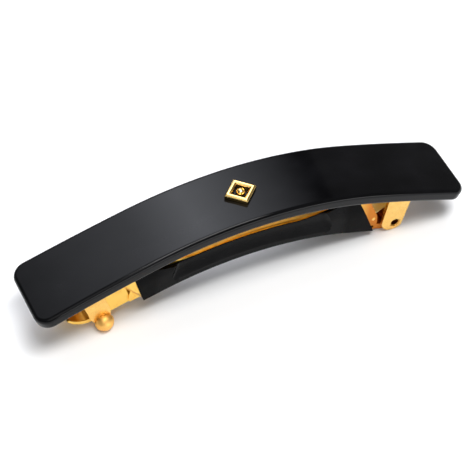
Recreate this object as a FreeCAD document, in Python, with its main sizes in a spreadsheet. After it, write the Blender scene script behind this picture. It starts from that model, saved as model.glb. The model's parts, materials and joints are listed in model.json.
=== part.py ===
import FreeCAD, Part
import math
import os
import re
import Sketcher

Vector = FreeCAD.Vector

os.makedirs("parts", exist_ok=True)
doc = FreeCAD.newDocument("barrette")

# Lengths in millimetres, angles in degrees. A "place" is an arc distance from the middle of the bar,
# a "depth" is measured square to the bar's outer surface, down towards the arm.
DIMENSIONS = {
    "crown_height": 22.342, "stance_tilt": 2.145, "stance_shift": 0.480,
    "crown_radius": 88.3, "crown_half_arc": 26, "end_radius": 360, "bar_half_arc": 52.2,
    "bar_thickness": 3, "bar_half_width": 7.85, "bar_end_half_width": 8.3, "bar_trim_reach": 55,
    "bar_corner_radius": 3.2, "bar_edge_radius": 0.9,
    "ornament_place": 2.5, "ornament_half_length": 3.7, "ornament_half_width": 3.4, "ornament_opening": 0.58,
    "ornament_height": 1.2, "ornament_bevel": 0.35, "bead_radius": 1, "bead_web": 0.35,
    "post_radius": 0.5, "post_place": 2.4, "post_depth": 1.6,
    "plate_bottom": 3.8, "plate_half_width": 4.6, "plate_left": 44, "plate_right": 42.5,
    "rivet_place": 30, "rivet_radius": 0.9, "rivet_top": 1.3, "rivet_head_radius": 1.6, "rivet_head": 0.5,
    "ear_root": 3.4, "ear_top_left": 33.8, "ear_top_right": 39.9, "ear_low_left": 35.75,
    "ear_low_left_depth": 11.85, "ear_low_right": 41.45, "ear_low_right_depth": 12.1,
    "ear_round": 3.03, "ear_outer": 5.5, "ear_inner": 4.7,
    "pin_place": 39.4, "pin_depth": 11.65, "pin_radius": 1.1, "pin_bore": 0.9, "pin_half_length": 5.35,
    "pin_clearance": 0.05, "knuckle_radius": 1.9,
    "channel_half_width": 4.4, "sheet": 0.5, "channel_bottom": 13.3, "channel_top": 5.6,
    "channel_left": 30.3, "neck_left": 33.2, "heel_top_place": 29.8, "heel_mid_place": 34.3,
    "heel_mid_depth": 10.35, "heel_low_place": 35.2, "heel_low_depth": 12.2, "floor_end": 37,
    "foot_left": 34.8, "foot_right": 38.3, "foot_bottom": 14.3,
    "flare_left": 34, "flare_right": 30.45, "flare_top": 5.5, "flare_foot": 13.7, "flare_half_width": 5.3,
    "flare_bevel": 0.8,
    "scoop_left": 25.6, "scoop_right": 22.3, "scoop_low_left": 15, "scoop_low_right": 12,
    "scoop_depth": 8.35, "scoop_relief": 0.4,
    "tongue_half_width": 4.1, "tongue_top": 12.2, "tongue_wall": 7.6, "tongue_wall_end": 37.6,
    "tongue_bend": 43, "tip_place": 46.9, "tip_depth": 9.3, "tip_radius": 6,
    "lug_place": 40, "lug_half_width": 0.95, "lug_top": 10.8,
    "catch_depth": 11.6, "catch_radius": 0.45, "catch_half_length": 4.2,
    "cover_half_width": 5.5, "cover_bottom": 14.2, "cover_top": 5, "cover_left": 30.4,
    "cover_right_top": 26.3, "cover_right_low": 34.6, "cover_edge_radius": 0.8,
    "waist_half_width": 4.75, "waist_half_angle": 15.5, "waist_low": 13.1, "waist_curve": 1.6,
    "cover_rivet_place": 28, "cover_rivet_radius": 0.8, "cover_rivet_head_radius": 1.3,
    "cover_rivet_head": 0.4, "cover_rivet_tail": 0.25,
    "bow_half_width": 3.5, "bow_sheet": 0.4, "bow_radius": 59.6, "bow_left": 26, "bow_left_depth": 10.8,
    "bow_right": 33.4, "bow_right_depth": 10.5, "bow_eye_place": 33.8, "bow_eye_depth": 11.3,
    "bow_eye_radius": 0.95, "bow_pin_radius": 0.5, "bow_pin_clearance": 0.1,
    "tail_start": 34, "tail_start_depth": 10.5, "tail_end": 37.4, "tail_end_depth": 7.2,
    "saddle_left": 43.5, "saddle_right": 36.5, "saddle_bottom": 4.5, "saddle_half_width": 4.3,
    "clasp_place": 40, "clasp_rivet_radius": 0.8,
    "leg_top": 3.85, "leg_half_width": 2.35, "leg_shoulder": 11.7, "leg_foot_half_width": 1.55,
    "leg_foot": 14.4, "leg_sheet": 0.7,
    "pad_depth": 14.2, "pad_radius": 2.1, "pad_stem_radius": 0.6,
}

dims = doc.addObject("Spreadsheet::Sheet", "dims")
for row, (alias, number) in enumerate(DIMENSIONS.items(), 1):
    dims.set("A%d" % row, str(number))
    dims.setAlias("A%d" % row, alias)
doc.recompute()


def formula(text):
    """Point every named dimension in the text at its spreadsheet cell."""
    return re.sub(r"[a-z_]+", lambda word: "dims." + word[0] if word[0] in DIMENSIONS else word[0], str(text))


def value(text):
    return float(dims.evalExpression(formula(text)))


def left(place):
    return -1, place


def right(place):
    return 1, place


def slope(place):
    """Expression for the bar's slope in degrees at a place."""
    side, reach = place
    if value(reach) <= DIMENSIONS["crown_half_arc"]:
        turn = "(%s) / crown_radius" % reach
    else:
        turn = "(crown_half_arc / crown_radius + ((%s) - crown_half_arc) / end_radius)" % reach
    return "%d * %s * 180 / pi" % (side, turn)


def corner(place, depth):
    """Expressions for x and z of the point at a place and a depth."""
    angle = slope(place)
    if value(place[1]) <= DIMENSIONS["crown_half_arc"]:
        return ("(crown_radius - (%s)) * sin(%s)" % (depth, angle),
                "(crown_radius - (%s)) * cos(%s) - crown_radius" % (depth, angle))
    joint = "crown_half_arc / crown_radius * 180 / pi"
    return ("%d * (crown_radius - end_radius) * sin(%s) + (end_radius - (%s)) * sin(%s)"
            % (place[0], joint, depth, angle),
            "(crown_radius - end_radius) * cos(%s) + (end_radius - (%s)) * cos(%s) - crown_radius"
            % (joint, depth, angle))


def follow(depth, start, stop):
    """Corners of the run at constant depth from one place to another."""
    ends = [side * value(reach) for side, reach in (start, stop)]
    way = 1 if ends[1] > ends[0] else -1
    joints = [(way * side, "crown_half_arc") for side in (-1, 1)]
    marks = [start] + [j for j in joints if min(ends) < j[0] * value(j[1]) < max(ends)] + [stop]
    run = []
    for first, second in zip(marks, marks[1:]):
        middle = sum(side * value(reach) for side, reach in (first, second)) / 2
        zone = "crown_radius" if abs(middle) < DIMENSIONS["crown_half_arc"] else "end_radius"
        run.append(corner(first, depth) + ("%s - (%s)" % (zone, depth), -way))
    return run + [corner(stop, depth)]


def new_body(label, place=None, depth="0"):
    """Body in the bar's frame, or in the local frame at a place and a depth."""
    body = doc.addObject("PartDesign::Body", label)
    body.Label = label
    x, z = corner(place, depth) if place else ("0", "0")
    turn = slope(place) if place else "0"
    body.setExpression("Placement", formula(
        "placement(vector((%s) * cos(stance_tilt) + (%s) * sin(stance_tilt) + stance_shift; 0;"
        " (%s) * cos(stance_tilt) - (%s) * sin(stance_tilt) + crown_height);"
        " rotation(vector(0; 1; 0); %s + stance_tilt))" % (x, z, z, x, turn)))
    return body


def new_sketch(body, name, role, place=None, start="0"):
    """Sketch on an origin plane, optionally moved to a place or started off the plane."""
    sketch = body.newObject("Sketcher::SketchObject", body.Name + "_" + name)
    plane = next(feature for feature in body.Origin.OriginFeatures if feature.Role == role)
    sketch.AttachmentSupport = [(plane, "")]
    sketch.MapMode = "FlatFace"
    x, z = corner(place, "0") if place else ("0", "0")
    turn = slope(place) if place else "0"
    sketch.setExpression("AttachmentOffset", formula(
        "placement(vector(%s; %s; %s); rotation(vector(0; 0; 1); -(%s)))" % (x, z, start, turn)))
    return sketch


def drive(sketch, kind, *items):
    """Add a dimension whose last item is an expression."""
    index = sketch.addConstraint(Sketcher.Constraint(kind, *items[:-1], value(items[-1])))
    sketch.setExpression("Constraints[%d]" % index, formula(items[-1]))


def loop(sketch, corners):
    """Closed outline; a corner with a radius and a side starts an arc (1 bulges right of travel)."""
    points = [Vector(value(c[0]), value(c[1]), 0) for c in corners]
    first = sketch.GeometryCount
    ends = []
    for index, item in enumerate(corners):
        a, b = points[index], points[(index + 1) % len(points)]
        if len(item) == 2:
            sketch.addGeometry(Part.LineSegment(a, b))
            ends.append((1, 2))
            continue
        radius, bulge = value(item[2]), item[3]
        chord = b - a
        normal = Vector(-chord.y, chord.x, 0).normalize()
        centre = (a + b) / 2 + normal * bulge * math.sqrt(radius ** 2 - chord.Length ** 2 / 4)
        angles = [math.atan2(p.y - centre.y, p.x - centre.x) for p in ((a, b) if bulge > 0 else (b, a))]
        sketch.addGeometry(Part.ArcOfCircle(Part.Circle(centre, Vector(0, 0, 1), radius), *angles))
        ends.append((1, 2) if bulge > 0 else (2, 1))
    for index, item in enumerate(corners):
        following = (index + 1) % len(corners)
        sketch.addConstraint(Sketcher.Constraint(
            "Coincident", first + index, ends[index][1], first + following, ends[following][0]))
    for index, item in enumerate(corners):
        drive(sketch, "DistanceX", first + index, ends[index][0], item[0])
        drive(sketch, "DistanceY", first + index, ends[index][0], item[1])
        if len(item) > 2:
            drive(sketch, "Radius", first + index, item[2])
    return sketch


def circle(sketch, x, z, radius):
    index = sketch.addGeometry(Part.Circle(Vector(value(x), value(z), 0), Vector(0, 0, 1), value(radius)))
    drive(sketch, "DistanceX", index, 3, x)
    drive(sketch, "DistanceY", index, 3, z)
    drive(sketch, "Radius", index, radius)
    return sketch


def feature(kind, sketch, length=None, one_side=False):
    """Pad or pocket a sketch: centred on it unless one sided, through everything without a length."""
    body = sketch.getParentGeoFeatureGroup()
    item = body.newObject("PartDesign::" + kind, sketch.Name + "_" + kind.lower())
    item.Profile = sketch
    item.SideType = "One side" if one_side else "Symmetric"
    if length is None:
        item.Type = "ThroughAll"
    else:
        item.setExpression("Length", formula(length))
    sketch.Visibility = False
    return item


def turn_about(kind, sketch, axis, angle="360"):
    body = sketch.getParentGeoFeatureGroup()
    item = body.newObject("PartDesign::" + kind, sketch.Name + "_" + kind.lower())
    item.Profile = sketch
    item.ReferenceAxis = (sketch, [axis])
    item.Midplane = True
    item.setExpression("Angle", formula(angle))
    return item


def dress(kind, body, size, chosen):
    """Fillet or chamfer the edges whose middle passes the test."""
    doc.recompute()
    base = body.Tip
    names = ["Edge%d" % (index + 1) for index, edge in enumerate(base.Shape.Edges)
             if chosen(edge.valueAt((edge.FirstParameter + edge.LastParameter) / 2), edge)]
    item = body.newObject("PartDesign::" + kind, "%s_%s_%d" % (body.Name, kind.lower(), len(body.Group)))
    item.Base = (base, names)
    item.setExpression("Radius" if kind == "Fillet" else "Size", formula(size))
    return item


def stud_hole(body, name, place, radius, top, bottom):
    """Round hole square to the bar between two depths."""
    sketch = loop(new_sketch(body, name, "XZ_Plane", place), [
        ("0", "-(%s)" % bottom), (radius, "-(%s)" % bottom), (radius, "-(%s)" % top), ("0", "-(%s)" % top)])
    turn_about("Groove", sketch, "V_Axis")


def stud(label, place, steps):
    """Turned stud square to the bar, from (radius, top depth, bottom depth) steps, top first."""
    body = new_body(label, place)
    points = [("0", "-(%s)" % steps[-1][2])]
    for radius, top, bottom in reversed(steps):
        points += [(radius, "-(%s)" % bottom), (radius, "-(%s)" % top)]
    points.append(("0", "-(%s)" % steps[0][1]))
    turn_about("Revolution", loop(new_sketch(body, "half", "XZ_Plane"), points), "V_Axis")
    return body


# The arched bar, its waist, corners and the blind holes in its underside.
bar = new_body("top_bar")
side = new_sketch(bar, "side", "XZ_Plane")
loop(side, follow("bar_thickness", left("bar_half_arc"), right("bar_half_arc"))
     + follow("0", right("bar_half_arc"), left("bar_half_arc")))
feature("Pad", side, "2 * bar_end_half_width + 2")
trim = new_sketch(bar, "trim", "XY_Plane")
widening = "(bar_end_half_width - bar_half_width)"
trim_curve = "(bar_trim_reach ^ 2 / %s + %s) / 2" % (widening, widening)
for sign, bulge in (("", 1), ("-", -1)):
    loop(trim, [("-bar_trim_reach", sign + "bar_end_half_width", trim_curve, bulge),
                ("bar_trim_reach", sign + "bar_end_half_width"),
                ("bar_trim_reach", sign + "2 * bar_end_half_width"),
                ("-bar_trim_reach", sign + "2 * bar_end_half_width")])
feature("Pocket", trim)
end_x = value(corner(right("bar_half_arc"), "bar_thickness")[0])
dress("Fillet", bar, "bar_corner_radius",
      lambda p, edge: abs(p.x) > end_x - 0.1 and abs(p.y) > 5 and edge.Length < 4)
dress("Fillet", bar, "bar_edge_radius", lambda p, edge: edge.Length > 1 and not (
    abs(p.y) < 0.01 and abs(p.x) < end_x - 0.1) and not (3.05 > edge.Length > 2.95 and abs(p.y) > 1))
for name, place in (("left", left("ornament_place + post_place")),
                    ("right", left("ornament_place - post_place"))):
    stud_hole(bar, "post_" + name, place, "post_radius", "-0.5", "post_depth")
    stud("ornament_post_" + name, place, [("post_radius", "0", "post_depth")])
for name, place in (("left", left("rivet_place")), ("right", right("rivet_place"))):
    stud_hole(bar, "rivet_" + name, place, "rivet_radius", "rivet_top", "bar_thickness + 1")
stud_hole(bar, "clasp_rivet", left("clasp_place"), "clasp_rivet_radius", "rivet_top", "bar_thickness + 1")

# Open lozenge over two posts, with a domed bead glued in its opening.
frame = new_body("ornament_frame", left("ornament_place"))
lozenge = new_sketch(frame, "lozenge", "XY_Plane")
for scale in ("", "ornament_opening * "):
    loop(lozenge, [(scale + "ornament_half_length", "0"), ("0", scale + "ornament_half_width"),
                   ("-" + scale + "ornament_half_length", "0"), ("0", "-" + scale + "ornament_half_width")])
feature("Pad", lozenge, "ornament_height", one_side=True)
dress("Chamfer", frame, "ornament_bevel", lambda p, edge: p.z > DIMENSIONS["ornament_height"] - 0.01)

bead = new_body("ornament_bead", left("ornament_place"))
disc = circle(new_sketch(bead, "disc", "XY_Plane"), "0", "0", "bead_radius")
feature("Pad", disc, "bead_web", one_side=True)
cap = loop(new_sketch(bead, "cap", "XZ_Plane"), [
    ("0", "bead_web"), ("bead_radius", "bead_web", "bead_radius", 1), ("0", "bead_web + bead_radius")])
turn_about("Revolution", cap, "V_Axis")

# Base strip under the bar with two hinge ears folded down from it.
plate = new_body("base_plate")
strip = new_sketch(plate, "strip", "XZ_Plane")
loop(strip, follow("plate_bottom", left("plate_left"), right("plate_right"))
     + follow("bar_thickness", right("plate_right"), left("plate_left")))
feature("Pad", strip, "2 * plate_half_width")
ears = loop(new_sketch(plate, "ears", "XZ_Plane"), [
    corner(right("ear_low_left"), "ear_low_left_depth") + ("ear_round", 1),
    corner(right("ear_low_right"), "ear_low_right_depth"),
    corner(right("ear_top_right"), "ear_root"),
    corner(right("ear_top_left"), "ear_root")])
feature("Pad", ears, "2 * ear_outer")
between = loop(new_sketch(plate, "between", "XZ_Plane"), [
    corner(right("ear_top_left - 1"), "cover_bottom + 2"),
    corner(right("plate_right + 1"), "cover_bottom + 2")]
    + follow("plate_bottom", right("plate_right + 1"), right("ear_top_left - 1")))
feature("Pocket", between, "2 * ear_inner")
bores = circle(new_sketch(plate, "bores", "XZ_Plane"), *corner(right("pin_place"), "pin_depth"),
               "pin_radius + pin_clearance")
feature("Pocket", bores)
for name, place in (("left", left("rivet_place")), ("right", right("rivet_place"))):
    stud_hole(plate, "rivet_" + name, place, "rivet_radius", "bar_thickness - 0.5", "plate_bottom + 0.5")
stud_hole(plate, "clasp_rivet", left("clasp_place"), "clasp_rivet_radius",
          "bar_thickness - 0.5", "plate_bottom + 0.5")

for name, place in (("bar_rivet_left", left("rivet_place")), ("bar_rivet_right", right("rivet_place"))):
    stud(name, place, [("rivet_radius", "rivet_top", "plate_bottom + 0.01"),
                       ("rivet_head_radius", "plate_bottom + 0.01", "plate_bottom + rivet_head")])

pin = new_body("hinge_pin", right("pin_place"), "pin_depth")
tube = circle(new_sketch(pin, "tube", "XZ_Plane"), "0", "0", "pin_radius")
circle(tube, "0", "0", "pin_bore")
feature("Pad", tube, "2 * pin_half_length")

# Clasp at the left end: saddle, its rivet, and two spring legs with domed finger pads.
saddle = new_body("clasp_saddle")
saddle_side = loop(new_sketch(saddle, "side", "XZ_Plane"),
                   follow("saddle_bottom", left("saddle_left"), left("saddle_right"))
                   + follow("plate_bottom", left("saddle_right"), left("saddle_left")))
feature("Pad", saddle_side, "2 * saddle_half_width")
stud_hole(saddle, "rivet", left("clasp_place"), "clasp_rivet_radius",
          "plate_bottom - 0.5", "saddle_bottom + 0.5")
stud("clasp_rivet", left("clasp_place"), [
    ("clasp_rivet_radius", "rivet_top", "saddle_bottom + 0.01"),
    ("rivet_head_radius", "saddle_bottom + 0.01", "saddle_bottom + rivet_head")])

for name, sign, leg_start in (("front", "-", "saddle_half_width"),
                              ("back", "", "-(saddle_half_width + leg_sheet)")):
    leg = new_body(name + "_leg", left("clasp_place"))
    shape = loop(new_sketch(leg, "shape", "XZ_Plane", start=leg_start), [
        ("-leg_half_width", "-leg_shoulder"), ("-leg_foot_half_width", "-leg_foot"),
        ("leg_foot_half_width", "-leg_foot"), ("leg_half_width", "-leg_shoulder"),
        ("leg_half_width", "-leg_top"), ("-leg_half_width", "-leg_top")])
    feature("Pad", shape, "leg_sheet", one_side=True)
    feature("Pocket", circle(new_sketch(leg, "hole", "XZ_Plane"), "0", "-pad_depth", "pad_stem_radius"))
    pad = new_body(name + "_pad", left("clasp_place"), "pad_depth")
    bulge = 1 if name == "back" else -1
    inner, face, crest = (sign + "(saddle_half_width%s)" % more
                          for more in ("", " + leg_sheet", " + leg_sheet + pad_radius"))
    profile = [(inner, "0"), (crest, "0", "pad_radius", bulge), (face, "pad_radius"),
               (face, "pad_stem_radius"), (inner, "pad_stem_radius")]
    turn_about("Revolution", loop(new_sketch(pad, "half", "YZ_Plane"), profile), "H_Axis")

# Channel arm: wide part with walls, rolled knuckle round the pin, narrow tongue with an upturned tip.
arm = new_body("arm_channel")
wide = loop(new_sketch(arm, "wide", "XZ_Plane"),
            follow("channel_bottom", left("neck_left"), right("floor_end"))
            + [corner(right("floor_end"), "channel_bottom - sheet"),
               corner(right("heel_low_place"), "channel_bottom - sheet"),
               corner(right("heel_low_place"), "heel_low_depth"),
               corner(right("heel_mid_place"), "heel_mid_depth")]
            + follow("channel_top", right("heel_top_place"), right("scoop_right"))
            + follow("scoop_depth + scoop_relief", right("scoop_low_right"), left("scoop_low_left"))
            + follow("channel_top", left("scoop_left"), left("channel_left"))
            + [corner(left("neck_left"), "tongue_top")])
feature("Pad", wide, "2 * channel_half_width")
hollow = loop(new_sketch(arm, "hollow", "XZ_Plane"),
              follow("channel_bottom - sheet", left("neck_left + 1"), right("floor_end - 0.5"))
              + follow("cover_top - 1", right("floor_end - 0.5"), left("neck_left + 1")))
feature("Pocket", hollow, "2 * (channel_half_width - sheet)")
knuckle = circle(new_sketch(arm, "knuckle", "XZ_Plane"), *corner(right("pin_place"), "pin_depth"),
                 "knuckle_radius")
feature("Pad", knuckle, "2 * channel_half_width")
web = loop(new_sketch(arm, "web", "XZ_Plane"),
           follow("channel_bottom", right("floor_end - 1"), right("pin_place - 1"))
           + follow("channel_bottom - sheet", right("pin_place - 1"), right("floor_end - 1")))
feature("Pad", web, "2 * channel_half_width")
foot = loop(new_sketch(arm, "foot", "XZ_Plane"),
            follow("foot_bottom", right("foot_left"), right("foot_right"))
            + follow("channel_bottom - sheet", right("foot_right"), right("foot_left")))
feature("Pad", foot, "2 * channel_half_width")
bore = circle(new_sketch(arm, "bore", "XZ_Plane"), *corner(right("pin_place"), "pin_depth"),
              "pin_radius + pin_clearance")
feature("Pocket", bore)
tongue = loop(new_sketch(arm, "tongue", "XZ_Plane"),
              [corner(left("tip_place"), "tip_depth") + ("tip_radius", 1)]
              + follow("channel_bottom", left("tongue_bend"), left("neck_left - 0.4"))
              + follow("tongue_wall", left("neck_left - 0.4"), left("tongue_wall_end"))
              + [corner(left("tongue_wall_end"), "tongue_top"),
                 corner(left("lug_place - lug_half_width"), "tongue_top")]
              + [corner(left("lug_place - lug_half_width"), "lug_top"),
                 corner(left("lug_place + lug_half_width"), "lug_top"),
                 corner(left("lug_place + lug_half_width"), "tongue_top"),
                 corner(left("tongue_bend"), "tongue_top") + ("tip_radius - sheet", -1),
                 corner(left("tip_place - sheet"), "tip_depth")])
feature("Pad", tongue, "2 * tongue_half_width")
groove = loop(new_sketch(arm, "groove", "XZ_Plane"),
              [corner(left("tip_place + 1"), "tip_depth - 2"),
               corner(left("tip_place - sheet - 0.02"), "tip_depth - 0.5"),
               corner(left("tip_place - sheet"), "tip_depth + 0.3") + ("tip_radius - sheet", 1)]
              + follow("channel_bottom - sheet", left("tongue_bend"), left("neck_left - 0.4"))
              + [corner(left("neck_left - 0.4"), "tongue_wall - 0.5"),
                 corner(left("tongue_wall_end + 1"), "tongue_wall - 0.5")])
feature("Pocket", groove, "2 * (tongue_half_width - sheet)")
cross_holes = circle(new_sketch(arm, "cross_holes", "XZ_Plane"),
                     *corner(left("lug_place"), "catch_depth"), "catch_radius")
circle(cross_holes, *corner(right("bow_eye_place"), "bow_eye_depth"), "bow_pin_radius")
feature("Pocket", cross_holes)
for name, place in (("left", left("cover_rivet_place")), ("right", right("cover_rivet_place"))):
    stud_hole(arm, "rivet_" + name, place, "cover_rivet_radius", "channel_bottom - 1", "channel_bottom + 0.5")

# Folded cheeks beside the neck of the arm, flush with the end of the cover.
fold = [(value(a) + value(b)) / 2 for a, b in zip(corner(left("flare_left"), "flare_top"),
                                                  corner(left("flare_right"), "flare_foot"))]
for name, cheek_start in (("front", "channel_half_width"), ("back", "-flare_half_width")):
    cheek = new_body(name + "_cheek")
    flare = loop(new_sketch(cheek, "flare", "XZ_Plane", start=cheek_start), [
        corner(left("flare_left"), "flare_top"), corner(left("flare_right"), "flare_foot"),
        corner(left("flare_right"), "flare_top")])
    feature("Pad", flare, "flare_half_width - channel_half_width", one_side=True)
    dress("Chamfer", cheek, "flare_bevel",
          lambda p, edge: abs(p.y) > 5 and math.hypot(p.x - fold[0], p.z - fold[1]) < 0.1)

# Moulded cover over the channel, open upwards, with a waisted grip in the middle.
cover = new_body("arm_cover")
shell = loop(new_sketch(cover, "shell", "XZ_Plane"),
             follow("cover_bottom", left("cover_left"), right("cover_right_low"))
             + follow("cover_top", right("cover_right_top"), right("scoop_right"))
             + follow("scoop_depth", right("scoop_low_right"), left("scoop_low_left"))
             + follow("cover_top", left("scoop_left"), left("cover_left")))
feature("Pad", shell, "2 * cover_half_width")
dress("Fillet", cover, "cover_edge_radius", lambda p, edge: edge.Length > 4 and abs(p.y) > 5 and any(
    abs(p.distanceToPoint(Vector(value(x), p.y, value(z)))) < 0.05 for x, z in (
        corner(left("(cover_left + crown_half_arc) / 2"), "cover_bottom"), corner(right("0"), "cover_bottom"),
        corner(right("(cover_right_low + crown_half_arc) / 2"), "cover_bottom"))))
seat = loop(new_sketch(cover, "seat", "XZ_Plane"),
            follow("channel_bottom", left("cover_left + 1"), right("cover_right_low + 2"))
            + follow("cover_top - 1", right("cover_right_low + 2"), left("cover_left + 1")))
feature("Pocket", seat, "2 * channel_half_width")
waist = new_sketch(cover, "waist", "YZ_Plane")
waist.setExpression("AttachmentOffset", formula(
    "placement(vector(0; -crown_radius; 0); rotation(vector(0; 0; 1); 0))"))
for sign, bulge in (("", -1), ("-", 1)):
    loop(waist, [(sign + "waist_half_width", "crown_radius - waist_low + waist_curve", "waist_curve", -bulge),
                 (sign + "(waist_half_width + waist_curve)", "crown_radius - waist_low"),
                 (sign + "(waist_half_width + waist_curve)", "crown_radius - cover_top + 2"),
                 (sign + "waist_half_width", "crown_radius - cover_top + 2")])
turn_about("Groove", waist, "H_Axis", "2 * waist_half_angle")
for name, place in (("left", left("cover_rivet_place")), ("right", right("cover_rivet_place"))):
    stud_hole(cover, "rivet_" + name, place, "cover_rivet_radius",
              "channel_bottom - 0.5", "cover_bottom + 0.5")
    stud("cover_rivet_" + name, place, [
        ("cover_rivet_head_radius", "channel_bottom - sheet - cover_rivet_head",
         "channel_bottom - sheet - 0.01"),
        ("cover_rivet_radius", "channel_bottom - sheet - 0.01", "cover_bottom + 0.01"),
        ("cover_rivet_head_radius", "cover_bottom + 0.01", "cover_bottom + cover_rivet_tail")])

catch = new_body("catch_pin", left("lug_place"), "catch_depth")
feature("Pad", circle(new_sketch(catch, "round", "XZ_Plane"), "0", "0", "catch_radius"),
        "2 * catch_half_length")

# Tension bow: a spring strip with an eye round its own small pin.
bow = new_body("tension_bow")
curve = loop(new_sketch(bow, "curve", "XZ_Plane"), [
    corner(left("bow_left"), "bow_left_depth + bow_sheet") + ("bow_radius - bow_sheet", -1),
    corner(right("bow_right"), "bow_right_depth + bow_sheet"),
    corner(right("bow_right"), "bow_right_depth") + ("bow_radius", 1),
    corner(left("bow_left"), "bow_left_depth")])
feature("Pad", curve, "2 * bow_half_width")
eye = circle(new_sketch(bow, "eye", "XZ_Plane"), *corner(right("bow_eye_place"), "bow_eye_depth"),
             "bow_eye_radius")
feature("Pad", eye, "2 * bow_half_width")
tail = loop(new_sketch(bow, "tail", "XZ_Plane"), [
    corner(right("tail_start"), "tail_start_depth + bow_sheet"),
    corner(right("tail_end"), "tail_end_depth + bow_sheet"),
    corner(right("tail_end"), "tail_end_depth"), corner(right("tail_start"), "tail_start_depth")])
feature("Pad", tail, "2 * bow_half_width")
eye_hole = circle(new_sketch(bow, "eye_hole", "XZ_Plane"), *corner(right("bow_eye_place"), "bow_eye_depth"),
                  "bow_pin_radius + bow_pin_clearance")
feature("Pocket", eye_hole)
bow_pin = new_body("bow_pin", right("bow_eye_place"), "bow_eye_depth")
feature("Pad", circle(new_sketch(bow_pin, "round", "XZ_Plane"), "0", "0", "bow_pin_radius"),
        "2 * channel_half_width")

doc.recompute()
box = FreeCAD.BoundBox()
for body in doc.findObjects("PartDesign::Body"):
    for item in body.Group + [body]:
        if "Invalid" in item.State or "Error" in item.State:
            raise RuntimeError("%s: %s" % (item.Name, item.State))
    shape = body.Shape
    if shape.isNull() or not shape.isValid() or len(shape.Solids) != 1:
        raise RuntimeError("%s is not one valid solid (%d)" % (body.Name, len(shape.Solids)))
    shape.exportStep("parts/%s.step" % body.Name)
    box.add(shape.BoundBox)
    print("%-18s %8.2f mm3" % (body.Name, shape.Volume))
print("box", box)
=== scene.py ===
"""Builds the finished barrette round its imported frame: bar, arm cover, metalwork, ornament and stage."""

import json
import math

import bpy
from bpy.props import FloatProperty, FloatVectorProperty, PointerProperty
from mathutils import Matrix, Vector

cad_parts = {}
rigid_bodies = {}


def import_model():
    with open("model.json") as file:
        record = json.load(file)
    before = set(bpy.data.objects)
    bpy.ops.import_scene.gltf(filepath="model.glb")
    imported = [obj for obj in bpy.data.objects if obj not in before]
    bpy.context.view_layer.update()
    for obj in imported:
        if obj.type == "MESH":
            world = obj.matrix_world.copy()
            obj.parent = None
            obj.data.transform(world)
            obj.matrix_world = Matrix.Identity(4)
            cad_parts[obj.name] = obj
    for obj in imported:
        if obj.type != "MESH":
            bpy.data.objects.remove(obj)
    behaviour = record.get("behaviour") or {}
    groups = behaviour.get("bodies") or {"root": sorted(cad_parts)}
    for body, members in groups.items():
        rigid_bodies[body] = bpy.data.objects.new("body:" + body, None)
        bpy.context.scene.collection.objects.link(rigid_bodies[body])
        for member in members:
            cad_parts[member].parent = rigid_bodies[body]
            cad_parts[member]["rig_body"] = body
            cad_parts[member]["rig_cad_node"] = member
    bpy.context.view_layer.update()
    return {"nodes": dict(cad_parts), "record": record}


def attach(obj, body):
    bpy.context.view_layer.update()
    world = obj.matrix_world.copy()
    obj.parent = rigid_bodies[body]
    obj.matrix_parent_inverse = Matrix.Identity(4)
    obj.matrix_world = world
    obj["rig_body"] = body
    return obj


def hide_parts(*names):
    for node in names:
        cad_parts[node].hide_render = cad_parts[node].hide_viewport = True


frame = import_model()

bl_info = {
    "name": "Barrette maker",
    "version": (1, 0, 0),
    "blender": (4, 5, 0),
    "location": "3D View > Sidebar > Barrette",
    "description": "Models an arched barrette with a hinged French clip",
    "category": "Object",
}

MM = 0.001
PAST = 10 * MM                              # how far a cutter reaches past its piece
TOUCH = 1e-6                                # places closer than this are the same
GLOSS_STARTS = (-23.5 * MM, -21.5 * MM)     # the cover turns from grained to glossy along X
GLOSS_STOPS = (20 * MM, 22 * MM)            # and back again
PAINTED_SHADE_STARTS = 24 * MM                  # painted shade: the channel's gold darkens to orange towards the hinge, standing in for the shadowed floor it reflects
PAINTED_SHADE_RUN = 4 * MM
SENSOR_WIDTH = 36

METALWORK = {
    "plain": ("base_plate", "clasp_saddle", "front_leg", "back_leg"),
    "pressed": ("arm_channel", "front_cheek", "back_cheek"),
    "turned": ("bar_rivet_left", "bar_rivet_right", "clasp_rivet", "hinge_pin", "cover_rivet_left",
               "cover_rivet_right", "catch_pin", "bow_pin"),
    "brushed": ("front_pad", "back_pad"),
    "spring": ("tension_bow",),
    "cast": ("ornament_frame", "ornament_bead", "ornament_post_left", "ornament_post_right"),
}

# For each kind of metalwork: slot, material, stretch of the drawing lines, roughness and colour
GOLDS = {
    "plain": ("gold", "plain_gold", (0.2, 1, 1), 0.20, (0.96, 0.60, 0.17)),
    "pressed": ("gold", "pressed_gold", (0.2, 1, 1), 0.25, (0.98, 0.62, 0.13)),
    "turned": ("gold", "turned_gold", (1, 1, 1), 0.10, (0.95, 0.58, 0.15)),
    "brushed": ("gold", "satin_gold", (1, 1, 1), 0.42, (0.93, 0.53, 0.14)),
    # The spring's paler gold is a painted highlight: it brightens the bow where it lies in the shade under
    # the bar.
    "spring": ("spring_gold", "spring_gold", (0.06, 1, 1), 0.34, (1.0, 0.84, 0.40)),
    "cast": ("ornament_gold", "cast_gold", (1, 1, 1), 0.10, (0.98, 0.68, 0.24)),
}

# For each lamp: name, place, size, setting that holds its power, and whether it shows in reflections
LAMPS = (
    ("front_box", (-0.45, -0.75, 0.95), (0.8, 0.8), "front_power", True),
    ("top_strip", (0.08, -0.20, 0.92), (0.62, 0.28), "strip_power", True),
    ("front_card", (0.33, -0.94, 0.075), (0.9, 0.14), "card_power", True),
    ("top_fill", (0, 0, 1.5), (1.2, 1.2), "fill_power", False),
)


# Sizes and finishes a user would change

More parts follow.
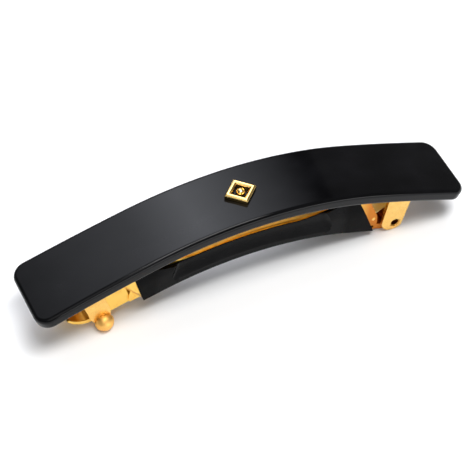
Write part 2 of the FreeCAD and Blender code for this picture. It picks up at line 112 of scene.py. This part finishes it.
class ArchSizes(bpy.types.PropertyGroup):
    """The arch that the bar and the cover follow, and how the closed clip stands."""
    crown_radius: FloatProperty(name="Crown radius", description="Outer radius of the middle of the bar",
                                default=0.0883, unit="LENGTH")
    end_radius: FloatProperty(name="End radius", description="Outer radius of the two straighter ends",
                              default=0.360, unit="LENGTH")
    crown_half_arc: FloatProperty(name="Crown half arc", description="Arc length from the middle to the ends",
                                  default=0.026, unit="LENGTH")
    reach: FloatProperty(name="Reach", description="Arc length of the guide on each side of the middle",
                         default=0.060, unit="LENGTH")
    height: FloatProperty(name="Height", description="Height of the bar's outer face above the floor",
                          default=0.022342, unit="LENGTH")
    shift: FloatProperty(name="Shift", description="Place of the middle of the bar along X",
                         default=0.00048, unit="LENGTH")
    tilt: FloatProperty(name="Tilt", description="How far the closed clip leans when it stands",
                        default=math.radians(2.145), subtype="ANGLE")


class BarSizes(bpy.types.PropertyGroup):
    """The acetate bar."""
    half_length: FloatProperty(name="Half length", description="Half of the bar, along its arch",
                               default=0.0522, unit="LENGTH")
    half_width: FloatProperty(name="Half width", description="Half width at the waist", default=0.00785,
                              unit="LENGTH")
    flare: FloatProperty(name="Flare", description="How much wider each side is at the ends",
                         default=0.0004, unit="LENGTH")
    thickness: FloatProperty(name="Thickness", description="Thickness of the sheet", default=0.003,
                             unit="LENGTH")
    corner: FloatProperty(name="Corner", description="Radius of the four corners", default=0.0032,
                          unit="LENGTH")
    edge: FloatProperty(name="Edge", description="Radius of the tumbled edges", default=0.0009, unit="LENGTH")
    spacing: FloatProperty(name="Spacing", description="Distance between cross sections", default=0.001,
                           unit="LENGTH")


class CoverSizes(bpy.types.PropertyGroup):
    """The moulded arm cover; depths are below the bar's outer face."""
    left: FloatProperty(name="Left end", description="Place of the square end", default=-0.0304,
                        unit="LENGTH")
    right_top: FloatProperty(name="Right end, top", description="Top of the slanted end", default=0.0263,
                             unit="LENGTH")
    right_low: FloatProperty(name="Right end, foot", description="Foot of the slanted end", default=0.0346,
                             unit="LENGTH")
    top: FloatProperty(name="Top", description="Depth of the walls' tops", default=0.005, unit="LENGTH")
    bottom: FloatProperty(name="Bottom", description="Depth of the underside", default=0.0142, unit="LENGTH")
    half_width: FloatProperty(name="Half width", description="Half width over the walls", default=0.0055,
                              unit="LENGTH")
    lean: FloatProperty(name="Lean", description="How far the tops of the walls curve inwards",
                        default=0.0009, unit="LENGTH")
    lean_depth: FloatProperty(name="Lean depth", description="Depth at which the walls are widest",
                              default=0.0094, unit="LENGTH")
    seat_half_width: FloatProperty(name="Seat half width", description="Half width of the channel's seat",
                                   default=0.0044, unit="LENGTH")
    seat_depth: FloatProperty(name="Seat depth", description="Depth of the seat's floor", default=0.0133,
                              unit="LENGTH")
    scoop_depth: FloatProperty(name="Scoop depth", description="Depth of the low middle of the walls",
                               default=0.0085, unit="LENGTH")
    scoop_left: FloatProperty(name="Scoop left", description="Left end of the low middle", default=-0.0198,
                              unit="LENGTH")
    scoop_right: FloatProperty(name="Scoop right", description="Right end of the low middle", default=0.013,
                               unit="LENGTH")
    scoop_rise: FloatProperty(name="Scoop rise", description="Run of the slopes up to the walls' tops",
                              default=0.0104, unit="LENGTH")
    scoop_round: FloatProperty(name="Scoop rounding",
                               description="Length of the rounding where the slopes start",
                               default=0.003, unit="LENGTH")
    grip_left: FloatProperty(name="Grip left", description="Left end of the grip, at its foot",
                             default=-0.0256,
                             unit="LENGTH")
    grip_right: FloatProperty(name="Grip right", description="Right end of the grip, at its foot",
                              default=0.0244,
                              unit="LENGTH")
    grip_slant_left: FloatProperty(name="Left slant", description="Inward slope of the grip's left end",
                                   default=0.56)
    grip_slant_right: FloatProperty(name="Right slant", description="Inward slope of the grip's right end",
                                    default=0.71)
    waist_half_width: FloatProperty(name="Waist half width", description="Half width of the grip",
                                    default=0.00465, unit="LENGTH")
    waist_depth: FloatProperty(name="Waist depth", description="Depth at which the grip starts to widen",
                               default=0.0093, unit="LENGTH")
    hollow: FloatProperty(name="Hollow", description="Radius of the hollow sides of the grip", default=0.007,
                          unit="LENGTH")
    hollow_end: FloatProperty(name="Hollow end", description="Rounding of the ends of the grip",
                              default=0.003,
                              unit="LENGTH")
    edge: FloatProperty(name="Edge", description="Radius of the lower edges", default=0.0007, unit="LENGTH")
    rim: FloatProperty(name="Rim", description="Radius of the other edges", default=0.00015, unit="LENGTH")
    spacing: FloatProperty(name="Spacing", description="Distance between cross sections", default=0.0012,
                           unit="LENGTH")


class FinishSettings(bpy.types.PropertyGroup):
    """Colours of the finishes, and the width of the metal's broken edges."""
    acetate: FloatVectorProperty(name="Acetate", description="Body colour of the bar", subtype="COLOR",
                                 size=3,
                                 default=(0.0035, 0.0035, 0.004), min=0, max=1)
    nylon: FloatVectorProperty(name="Nylon", description="Body colour of the cover", subtype="COLOR", size=3,
                               default=(0.003, 0.003, 0.0032), min=0, max=1)
    edge_break: FloatProperty(name="Edge break", description="Width of the polished edges of the metal sheet",
                              default=0.00009, unit="LENGTH")


class StageSettings(bpy.types.PropertyGroup):
    """Floor, lights and camera."""
    floor_half: FloatProperty(name="Floor half size", description="Half width of the floor", default=3.0,
                              unit="LENGTH")
    sky: FloatProperty(name="Sky", description="Strength of the even light from all round", default=0.16,
                       min=0)
    front_power: FloatProperty(name="Front power", description="Power of the front softbox in watts",
                               default=2.5, min=0)
    strip_power: FloatProperty(name="Strip power", description="Power of the overhead strip in watts",
                               default=7.5,
                               min=0)
    card_power: FloatProperty(name="Card power", description="Power of the low front card in watts",
                              default=3.0, min=0)
    fill_power: FloatProperty(name="Fill power", description="Power of the overhead fill in watts",
                              default=3.5, min=0)
    glow_place: FloatVectorProperty(name="Glow place", description="Middle of the graded rear softbox",
                                    size=3,
                                    default=(0.095, 0.56, 0.82), subtype="TRANSLATION", unit="LENGTH")
    glow_reach: FloatProperty(name="Glow reach", description="Radius at which the rear softbox goes dark",
                              default=0.70, unit="LENGTH")
    glow_falloff: FloatProperty(name="Glow falloff", description="How steeply the rear softbox fades",
                                default=1.6)
    glow: FloatProperty(name="Glow", description="Brightness of the middle of the rear softbox", default=7.2,
                        min=0)
    camera_place: FloatVectorProperty(name="Camera place", description="Where the camera stands", size=3,
                                      default=(-0.131051, -0.2243, 0.318306), subtype="TRANSLATION",
                                      unit="LENGTH")
    camera_turn: FloatVectorProperty(name="Camera turn", description="How the camera is turned", size=3,
                                     default=tuple(map(math.radians, (39.87442, -3.220283, -25.865311))),
                                     subtype="EULER", unit="ROTATION")
    lens: FloatProperty(name="Lens", description="Focal length in millimetres", default=147.64,
                        subtype="NONE")


# Modelling helpers

def deselect():
    if bpy.context.object and bpy.context.object.mode != "OBJECT":
        bpy.ops.object.mode_set(mode="OBJECT")
    bpy.ops.object.select_all(action="DESELECT")


def only(piece):
    """Make one object the selected and active one."""
    deselect()
    piece.select_set(True)
    bpy.context.view_layer.objects.active = piece


def add_block(name, low, high):
    """A box between two corners, with its place in its mesh."""
    deselect()
    centre = (Vector(low) + Vector(high)) / 2
    bpy.ops.mesh.primitive_cube_add(size=1, location=centre)
    piece = bpy.context.object
    piece.name = piece.data.name = name
    piece.scale = Vector(high) - Vector(low)
    bpy.ops.object.transform_apply(location=True, rotation=True, scale=True)
    return piece


def pick(piece, kind, test):
    """Select the vertices, edges or faces whose middle passes the test, and enter edit mode."""
    only(piece)
    bpy.ops.object.mode_set(mode="EDIT")
    bpy.ops.mesh.select_mode(type=kind)
    bpy.ops.mesh.select_all(action="DESELECT")
    bpy.ops.object.mode_set(mode="OBJECT")
    mesh = piece.data
    if kind == "VERT":
        items = [(v, v.co) for v in mesh.vertices]
    elif kind == "EDGE":
        ends = [[mesh.vertices[end].co for end in edge.vertices] for edge in mesh.edges]
        items = [(edge, (first + last) / 2) for edge, (first, last) in zip(mesh.edges, ends)]
    else:
        items = [(f, f.center) for f in mesh.polygons]
    count = 0
    for item, place in items:
        item.select = bool(test(place))
        count += item.select
    if not count:
        raise RuntimeError("nothing was picked on " + piece.name)
    bpy.ops.object.mode_set(mode="EDIT")


def leave_edit():
    bpy.ops.object.mode_set(mode="OBJECT")


def round_edges(piece, radius, segments, test):
    """Round the edges whose middle passes the test."""
    pick(piece, "EDGE", test)
    bpy.ops.mesh.bevel(offset=radius, segments=segments, profile=0.5)
    leave_edit()


def move_along(piece, distance, test):
    """Move the vertices that pass the test along X."""
    pick(piece, "VERT", test)
    bpy.ops.transform.translate(value=(distance, 0, 0))
    leave_edit()


def scale_across(piece, factor, test):
    """Scale the vertices that pass the test across the piece, about their middle."""
    pick(piece, "VERT", test)
    bpy.ops.transform.resize(value=(1, factor, 1))
    leave_edit()


def slice_at(piece, places, axis):
    """Cut a cross section at each place along the axis."""
    pick(piece, "FACE", lambda place: True)
    for place in places:
        bpy.ops.mesh.select_all(action="SELECT")
        bpy.ops.mesh.bisect(plane_co=Vector(axis) * place, plane_no=axis, threshold=TOUCH)
    leave_edit()


def slice_along(piece, start, stop, spacing):
    """Cut cross sections along X, so that the piece can bend; give their places."""
    count = round((stop - start) / spacing)
    places = [start + (stop - start) * index / count for index in range(1, count)]
    slice_at(piece, places, (1, 0, 0))
    return places


def apply_modifier(piece, kind, **settings):
    only(piece)
    modifier = piece.modifiers.new(kind.title(), kind)
    for key, setting in settings.items():
        setattr(modifier, key, setting)
    bpy.ops.object.modifier_apply(modifier=modifier.name)


def cut(piece, cutter):
    """Take the cutter's shape out of the piece, and remove the cutter."""
    apply_modifier(piece, "BOOLEAN", operation="DIFFERENCE", object=cutter, solver="EXACT")
    bpy.data.objects.remove(cutter, do_unlink=True)


def arch_frame():
    arch = bpy.context.scene.barrette_arch
    return Matrix.Translation((arch.shift, 0, arch.height)) @ Matrix.Rotation(arch.tilt, 4, "Y")


def make_guide():
    """The arch as a curve; a flat piece's X, less the reach, is the distance from its middle."""
    arch = bpy.context.scene.barrette_arch
    turn = arch.crown_half_arc / arch.crown_radius
    bend = (arch.reach - arch.crown_half_arc) / arch.end_radius
    inner = arch.crown_radius - arch.end_radius
    knots = []
    for side, angle, radius_in, radius_out, span_in, span_out in (
            (-1, turn + bend, 0, arch.end_radius, 0, bend),
            (-1, turn, arch.end_radius, arch.crown_radius, bend, turn),
            (0, 0, arch.crown_radius, arch.crown_radius, turn, turn),
            (1, turn, arch.crown_radius, arch.end_radius, turn, bend),
            (1, turn + bend, arch.end_radius, 0, bend, 0)):
        if angle > turn:
            x = inner * math.sin(turn) + arch.end_radius * math.sin(angle)
            z = inner * math.cos(turn) + arch.end_radius * math.cos(angle) - arch.crown_radius
        else:
            x, z = arch.crown_radius * math.sin(angle), arch.crown_radius * (math.cos(angle) - 1)
        along = Vector((math.cos(angle), 0, -side * math.sin(angle)))
        place = Vector((side * x, 0, z))
        knots.append((place - along * radius_in * math.tan(span_in / 4) * 4 / 3, place,
                      place + along * radius_out * math.tan(span_out / 4) * 4 / 3))
    deselect()
    bpy.ops.curve.primitive_bezier_curve_add()
    guide = bpy.context.object
    guide.name = "arch_guide"
    guide.data.splines[0].bezier_points.add(len(knots) - 2)
    matrix = arch_frame()
    for point, (before, place, after) in zip(guide.data.splines[0].bezier_points, knots):
        point.handle_left_type = point.handle_right_type = "FREE"
        point.co, point.handle_left, point.handle_right = matrix @ place, matrix @ before, matrix @ after
    guide.location = (0, 0, 0)
    guide.data.resolution_u = 128
    guide.data.twist_mode = "Z_UP"
    return guide


def bend_to_arch(piece):
    """Move the flat piece to the guide's start and bend it along the arch."""
    guide = make_guide()
    only(piece)
    piece.location.x = bpy.context.scene.barrette_arch.reach
    bpy.ops.object.transform_apply(location=True, rotation=True, scale=True)
    apply_modifier(piece, "CURVE", object=guide, deform_axis="POS_X")
    bpy.data.objects.remove(guide, do_unlink=True)


def smooth(piece, degrees=35):
    only(piece)
    bpy.ops.object.shade_smooth_by_angle(angle=math.radians(degrees))
    apply_modifier(piece, "WEIGHTED_NORMAL", keep_sharp=True, weight=60)


def finish_piece(piece, body, slot, material, *nodes):
    """Paint the piece, ride it on its body and let it stand for its nodes."""
    piece.data.materials.clear()
    piece.data.materials.append(material)
    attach(piece, body)
    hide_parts(*nodes)


# Materials

class Finish:
    """A node material under construction."""

    def __init__(self, name, **values):
        self.material = bpy.data.materials.new(name)
        self.material.use_nodes = True
        self.nodes, self.links = self.material.node_tree.nodes, self.material.node_tree.links
        self.shader = self.nodes["Principled BSDF"]
        for socket, number in values.items():
            self.shader.inputs[socket.replace("_", " ")].default_value = number
        self.place = self.nodes.new("ShaderNodeTexCoord").outputs["Object"]

    def node(self, kind, inputs=(), **settings):
        made = self.nodes.new("ShaderNode" + kind)
        for key, setting in settings.items():
            setattr(made, key, setting)
        for socket, item in dict(inputs).items():
            if isinstance(item, bpy.types.NodeSocket):
                self.links.new(item, made.inputs[socket])
            else:
                made.inputs[socket].default_value = item
        return made

    def stretched(self, scale):
        return self.node("Mapping", {"Vector": self.place, "Scale": scale}).outputs["Vector"]

    def noise(self, size, detail, stretch=(1, 1, 1), rough=0.55):
        """Noise with features about size metres across, stretched along the axes."""
        return self.node("TexNoise", {"Vector": self.stretched(stretch), "Scale": 1 / size, "Detail": detail,
                                      "Roughness": rough}).outputs["Fac"]

    def spread(self, value, low, high, start=0.3, stop=0.7):
        return self.node("MapRange", {"Value": value, "From Min": start, "From Max": stop, "To Min": low,
                                      "To Max": high}).outputs["Result"]

    def ramp(self, value, *stops):
        made = self.node("ValToRGB", {"Fac": value})
        ramp = made.color_ramp
        while len(ramp.elements) < len(stops):
            ramp.elements.new(0.5)
        for element, (place, colour) in zip(ramp.elements, stops):
            element.position, element.color = place, (*colour, 1)
        return made.outputs["Color"]

    def mix(self, factor, first, second):
        made = self.node("Mix", {"Factor": factor}, data_type="RGBA")
        for socket, item in (("A", first), ("B", second)):
            target = [s for s in made.inputs if s.name == socket and s.type == "RGBA"][0]
            if isinstance(item, bpy.types.NodeSocket):
                self.links.new(item, target)
            else:
                target.default_value = (*item, 1)
        return [s for s in made.outputs if s.type == "RGBA"][0]

    def maths(self, operation, first, second):
        made = self.node("Math", operation=operation)
        for index, item in enumerate((first, second)):
            if isinstance(item, bpy.types.NodeSocket):
                self.links.new(item, made.inputs[index])
            else:
                made.inputs[index].default_value = item
        return made.outputs[0]

    def set(self, socket, output):
        self.links.new(output, self.shader.inputs[socket])

    def bump(self, height, strength, depth, normal=None):
        inputs = {"Height": height, "Strength": strength, "Distance": depth}
        if normal:
            inputs["Normal"] = normal
        return self.node("Bump", inputs).outputs["Normal"]


def scaled(colour, factor):
    return tuple(min(1, c * factor) for c in colour)


def acetate_finish():
    colour = bpy.context.scene.barrette_finish.acetate
    finish = Finish("polished_acetate", IOR=1.5, Specular_IOR_Level=0.14)
    cloud = finish.noise(12 * MM, 3, (1, 1.6, 1.6))
    finish.set("Base Color", finish.ramp(cloud, (0.3, scaled(colour, 0.55)), (0.55, colour),
                                         (0.8, scaled(colour, 1.7))))
    haze = finish.spread(finish.noise(5 * MM, 5), 0.05, 0.11)
    rub = finish.spread(finish.noise(0.35 * MM, 3, (0.12, 1, 1)), 0, 0.035, 0.45, 0.75)
    finish.set("Roughness", finish.maths("ADD", haze, rub))
    wave = finish.bump(finish.noise(7 * MM, 2), 0.10, 0.05 * MM)
    finish.set("Normal", finish.bump(finish.noise(0.25 * MM, 2, (0.15, 1, 1)), 0.03, 0.01 * MM, wave))
    return finish.material


def nylon_finish():
    """Grained ends and a glossier grip between them."""
    colour = bpy.context.scene.barrette_finish.nylon
    finish = Finish("moulded_nylon", IOR=1.5)
    along = finish.node("SeparateXYZ", {"Vector": finish.place}).outputs["X"]
    grip = finish.maths("MULTIPLY", finish.spread(along, 0, 1, *GLOSS_STARTS),
                        finish.spread(along, 1, 0, *GLOSS_STOPS))
    grain = finish.noise(0.30 * MM, 4, rough=0.65)
    cloud = finish.noise(4 * MM, 3)
    finish.set("Base Color", finish.ramp(cloud, (0.3, scaled(colour, 0.7)), (0.7, scaled(colour, 1.5))))
    rough_end = finish.spread(grain, 0.34, 0.52)
    rough_grip = finish.spread(cloud, 0.10, 0.18)
    finish.set("Roughness", finish.node("Mix", {"Factor": grip, "A": rough_end, "B": rough_grip},
                                        data_type="FLOAT").outputs["Result"])
    finish.set("Specular IOR Level", finish.spread(grip, 0.035, 0.06, 0, 1))
    depth = finish.spread(grip, 1, 0.06, 0, 1)
    finish.set("Normal", finish.bump(finish.maths("MULTIPLY", grain, depth), 0.5, 0.06 * MM))
    return finish.material


def gold_finish(name, stretch, base_rough, colour, paints_shade=False):
    """Bright plating over pressed sheet; the drawing lines run where the stretch is small."""
    finish = Finish(name, Metallic=1.0, IOR=1.45)
    cloud = finish.noise(3 * MM, 3)
    warm = (colour[0] * 0.93, colour[1] * 0.86, colour[2] * 0.75)
    pale = (min(1, colour[0] * 1.02), colour[1] * 1.06, colour[2] * 1.2)
    tone = finish.ramp(cloud, (0.25, warm), (0.5, colour), (0.8, pale))
    # Painted shade: towards the hinge the colour darkens to a dark orange, standing in for the shadowed floor
    # that the channel's heel reflects.
    if paints_shade:
        along = finish.node("SeparateXYZ", {"Vector": finish.place}).outputs["X"]
        shade_mask = finish.spread(along, 0, 1, PAINTED_SHADE_STARTS, PAINTED_SHADE_STARTS + PAINTED_SHADE_RUN)
        tone = finish.mix(shade_mask, tone, (colour[0] * 0.62, colour[1] * 0.33, colour[2] * 0.16))
    finish.set("Base Color", tone)
    lines = finish.noise(0.12 * MM, 3, stretch)
    finish.set("Roughness", finish.maths("ADD", finish.spread(cloud, base_rough, base_rough + 0.07),
                                         finish.spread(lines, 0, 0.06)))
    wave = finish.bump(finish.noise(1.6 * MM, 2), 0.12, 0.04 * MM)
    finish.set("Normal", finish.bump(lines, 0.06, 0.01 * MM, wave))
    return finish.material


# Operators, one for each piece or group of like pieces

class BARRETTE_OT_bar(bpy.types.Operator):
    """Model the arched, waisted acetate bar"""
    bl_idname = "barrette.make_bar"
    bl_label = "Make bar"

    def execute(self, context):
        sizes = context.scene.barrette_bar
        half_width = sizes.half_width + sizes.flare
        bar = add_block("bar", (-sizes.half_length, -half_width, -sizes.thickness),
                        (sizes.half_length, half_width, 0))
        straight = sizes.half_length - sizes.corner - sizes.edge
        for x in slice_along(bar, -straight, straight, sizes.spacing):
            narrow = sizes.flare * (1 - (x / sizes.half_length) ** 2)
            scale_across(bar, 1 - narrow / half_width, lambda place: abs(place.x - x) < TOUCH)
        round_edges(bar, radius=sizes.corner, segments=14,
                    test=lambda place: abs(place.x) > sizes.half_length - TOUCH
                    and abs(place.y) > half_width - TOUCH)
        round_edges(bar, radius=sizes.edge, segments=7,
                    test=lambda place: min(abs(place.z), abs(place.z + sizes.thickness)) < TOUCH
                    and (abs(place.y) > TOUCH or abs(place.x) > sizes.half_length - TOUCH))
        slice_along(bar, -sizes.half_length, -straight, sizes.spacing)
        slice_along(bar, straight, sizes.half_length, sizes.spacing)
        bend_to_arch(bar)
        smooth(bar)
        finish_piece(bar, "base", "acetate", acetate_finish(), "top_bar")
        return {"FINISHED"}


class BARRETTE_OT_cover(bpy.types.Operator):
    """Model the scooped and waisted cover of the arm"""
    bl_idname = "barrette.make_cover"
    bl_label = "Make arm cover"

    def execute(self, context):
        sizes = context.scene.barrette_cover
        cover = add_block("cover", (sizes.left, -sizes.half_width, -sizes.bottom),
                          (sizes.right_low, sizes.half_width, -sizes.top))
        move_along(cover, sizes.right_top - sizes.right_low,
                   lambda place: place.x > 0 and place.z > -sizes.top - TOUCH)
        rows = 10    # of the walls' inward curve
        heights = [-sizes.top - (sizes.lean_depth - sizes.top) * row / rows for row in range(rows + 1)]
        slice_at(cover, heights[1:], (0, 0, 1))
        for row, height in enumerate(heights[:-1]):
            scale_across(cover, 1 - sizes.lean / sizes.half_width * (1 - row / rows) ** 2,
                         lambda place: abs(place.z - height) < TOUCH)
        round_edges(cover, radius=sizes.edge, segments=10,
                    test=lambda place: abs(place.z + sizes.bottom) < TOUCH and abs(place.y) > MM)
        scoop = add_block("scoop_cutter", (sizes.scoop_left, -PAST, -sizes.scoop_depth),
                          (sizes.scoop_right, PAST, sizes.scoop_depth - 2 * sizes.top))
        for side in (-1, 1):
            move_along(scoop, 2 * side * sizes.scoop_rise,
                       lambda place: place.z > -sizes.top and side * place.x > 0)
        round_edges(scoop, radius=sizes.scoop_round, segments=16,
                    test=lambda place: abs(place.z + sizes.scoop_depth) < TOUCH and abs(place.y) < MM)
        cut(cover, scoop)
        for side in (-1, 1):
            inner, outer = side * sizes.waist_half_width, side * 2 * PAST
            grip = add_block("grip_cutter", (-4 * PAST, min(inner, outer), -sizes.waist_depth - sizes.hollow),
                             (4 * PAST, max(inner, outer), 0))
            round_edges(grip, radius=sizes.hollow, segments=48,
                        test=lambda place: abs(place.y - inner) < TOUCH
                        and place.z < -sizes.waist_depth and abs(place.x) < PAST)
            for foot, outward, slant in ((sizes.grip_left, -1, sizes.grip_slant_left),
                                         (sizes.grip_right, 1, sizes.grip_slant_right)):
                corner = Vector((foot, 0, -sizes.bottom))
                normal = Vector((outward, 0, slant)).normalized()
                pick(grip, "FACE", lambda place: True)
                bpy.ops.mesh.bisect(plane_co=corner, plane_no=normal, use_fill=True, clear_outer=True)
                leave_edit()
                round_edges(grip, radius=sizes.hollow_end, segments=8,
                            test=lambda place: abs((place - corner).dot(normal)) < TOUCH)
            cut(cover, grip)
        seat = add_block("seat_cutter", (sizes.left - PAST, -sizes.seat_half_width, -sizes.seat_depth),
                         (sizes.right_low + PAST, sizes.seat_half_width, PAST))
        cut(cover, seat)
        apply_modifier(cover, "BEVEL", width=sizes.rim, segments=3, limit_method="ANGLE",
                       angle_limit=math.radians(38))
        slice_along(cover, sizes.left, sizes.right_low, sizes.spacing)
        bend_to_arch(cover)
        smooth(cover, 30)
        finish_piece(cover, "arm", "cover_black", nylon_finish(), "arm_cover")
        return {"FINISHED"}


def polish(kind):
    """Give one kind of metalwork its finish."""
    slot, name, stretch, rough, colour = GOLDS[kind]
    material = gold_finish(name, stretch, rough, colour, paints_shade=kind == "pressed")
    for node in METALWORK[kind]:
        refine(node, material, slot)


def refine(node, material, slot):
    """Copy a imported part, join its triangles, break its edges and finish it."""
    deselect()
    source = frame["nodes"][node]
    piece = source.copy()
    piece.data = source.data.copy()
    piece.name = piece.data.name = node + "_polished"
    piece.parent = None
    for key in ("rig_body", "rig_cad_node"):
        if key in piece:
            del piece[key]
    bpy.context.scene.collection.objects.link(piece)
    pick(piece, "VERT", lambda place: True)
    bpy.ops.mesh.remove_doubles(threshold=TOUCH)
    bpy.ops.mesh.dissolve_limited(angle_limit=math.radians(0.4))
    leave_edit()
    apply_modifier(piece, "BEVEL", width=bpy.context.scene.barrette_finish.edge_break, segments=2,
                   limit_method="ANGLE", angle_limit=math.radians(40))
    smooth(piece, 32)
    body = next(b for b, members in frame["record"]["behaviour"]["bodies"].items() if node in members)
    finish_piece(piece, body, slot, material, node)


class BARRETTE_OT_metalwork(bpy.types.Operator):
    """Polish the pressed, turned and spring parts of the clip"""
    bl_idname = "barrette.make_metalwork"
    bl_label = "Make metalwork"

    def execute(self, context):
        for kind in ("plain", "pressed", "turned", "brushed", "spring"):
            polish(kind)
        return {"FINISHED"}


class BARRETTE_OT_ornament(bpy.types.Operator):
    """Polish the open lozenge and its bead"""
    bl_idname = "barrette.make_ornament"
    bl_label = "Make ornament"

    def execute(self, context):
        polish("cast")
        return {"FINISHED"}


class BARRETTE_OT_stage(bpy.types.Operator):
    """Set up the floor, the soft lights and the camera"""
    bl_idname = "barrette.make_stage"
    bl_label = "Make stage"

    def execute(self, context):
        settings = context.scene.barrette_stage
        deselect()
        bpy.ops.mesh.primitive_plane_add(size=2 * settings.floor_half)
        floor = context.object
        floor.name = "floor"
        paper = Finish("paper_floor", Roughness=0.9, Specular_IOR_Level=0.1)
        paper.set("Base Color", paper.ramp(paper.noise(40 * MM, 2), (0.3, (0.90, 0.90, 0.90)),
                                           (0.7, (0.93, 0.93, 0.93))))
        floor.data.materials.append(paper.material)
        world = bpy.data.worlds.new("studio")
        context.scene.world = world
        world.use_nodes = True
        world.node_tree.nodes["Background"].inputs["Color"].default_value = (1, 1, 1, 1)
        world.node_tree.nodes["Background"].inputs["Strength"].default_value = settings.sky
        for name, place, size, power, mirrored in LAMPS:
            deselect()
            bpy.ops.object.light_add(type="AREA", location=place)
            lamp = context.object
            lamp.name = lamp.data.name = name
            lamp.data.shape = "RECTANGLE"
            lamp.data.size, lamp.data.size_y = size
            lamp.data.energy = getattr(settings, power)
            lamp.rotation_euler = (-Vector(place)).to_track_quat("-Z", "Y").to_euler()
            lamp.visible_glossy = mirrored
        deselect()
        bpy.ops.mesh.primitive_plane_add(size=2 * settings.glow_reach)
        glow = context.object
        glow.name = "glow_box"
        direction = Vector(settings.glow_place)
        glow.location = direction
        glow.rotation_euler = direction.to_track_quat("Z", "X").to_euler()
        cloth = Finish("glow_cloth", Base_Color=(0, 0, 0, 1), Specular_IOR_Level=0)
        reach = cloth.node("TexGradient", {"Vector": cloth.stretched([1 / settings.glow_reach] * 3)},
                           gradient_type="SPHERICAL").outputs["Fac"]
        falloff = cloth.maths("POWER", reach, settings.glow_falloff)
        cloth.set("Emission Strength", cloth.maths("MULTIPLY", falloff, settings.glow))
        cloth.shader.inputs["Emission Color"].default_value = (0.94, 0.97, 1.05, 1)
        glow.data.materials.append(cloth.material)
        deselect()
        bpy.ops.object.camera_add(location=settings.camera_place, rotation=settings.camera_turn)
        camera = context.object
        camera.data.lens = settings.lens
        camera.data.sensor_width = SENSOR_WIDTH
        camera.data.clip_start = 0.01
        context.scene.camera = camera
        context.scene.view_settings.view_transform = "Standard"
        return {"FINISHED"}


class BARRETTE_PT_panel(bpy.types.Panel):
    """Sidebar panel with one button for each group of pieces"""
    bl_idname = "BARRETTE_PT_panel"
    bl_label = "Barrette"
    bl_space_type = "VIEW_3D"
    bl_region_type = "UI"
    bl_category = "Barrette"

    def draw(self, context):
        for operator in OPERATORS:
            self.layout.operator(operator.bl_idname)
        for name in SETTINGS:
            group = getattr(context.scene, name)
            box = self.layout.box()
            for field in type(group).__annotations__:
                box.prop(group, field)


SETTINGS = {"barrette_arch": ArchSizes, "barrette_bar": BarSizes, "barrette_cover": CoverSizes,
            "barrette_finish": FinishSettings, "barrette_stage": StageSettings}
OPERATORS = (BARRETTE_OT_bar, BARRETTE_OT_cover, BARRETTE_OT_metalwork, BARRETTE_OT_ornament,
             BARRETTE_OT_stage)


def register():
    for item in (*SETTINGS.values(), *OPERATORS, BARRETTE_PT_panel):
        bpy.utils.register_class(item)
    for name, group in SETTINGS.items():
        setattr(bpy.types.Scene, name, PointerProperty(type=group))


def unregister():
    for name in SETTINGS:
        delattr(bpy.types.Scene, name)
    for item in reversed((*SETTINGS.values(), *OPERATORS, BARRETTE_PT_panel)):
        bpy.utils.unregister_class(item)


def main():
    register()
    bpy.ops.barrette.make_stage()
    bpy.ops.barrette.make_bar()
    bpy.ops.barrette.make_cover()
    bpy.ops.barrette.make_metalwork()
    bpy.ops.barrette.make_ornament()
    deselect()


if __name__ == "__main__":
    main()
